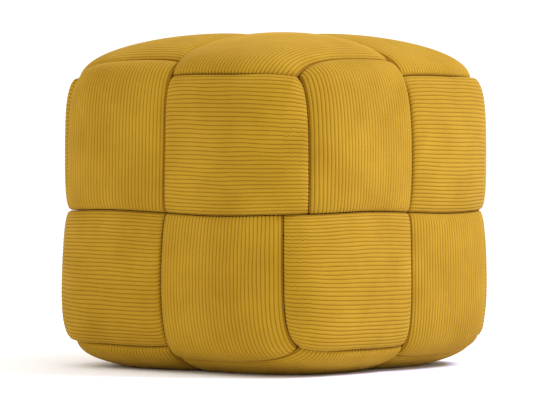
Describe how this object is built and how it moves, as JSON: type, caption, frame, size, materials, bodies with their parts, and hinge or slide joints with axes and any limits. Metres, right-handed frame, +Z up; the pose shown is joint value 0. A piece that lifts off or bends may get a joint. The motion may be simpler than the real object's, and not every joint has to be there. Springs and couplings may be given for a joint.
{
  "type": "corduroy pouf",
  "caption": "Cube-shaped pouf with rounded edges, woven out of padded corduroy bands that cross over and under on every face: a soft seat or footrest for the floor.",
  "frame": {"origin": "on the floor under the middle of the pouf", "axes": "+Z up, X and Y square to the side faces, -Y towards the front"},
  "size_m": [0.4288, 0.4288, 0.4021],
  "materials": {
    "corduroy": "matte wide-wale corduroy with a soft sheen on its ribs"
  },
  "bodies": {
    "root": {"upper_ring": "corduroy", "lower_ring": "corduroy", "front_loop_left": "corduroy", "front_loop_right": "corduroy", "side_loop_front": "corduroy", "side_loop_back": "corduroy"}
  },
  "joints": []
}
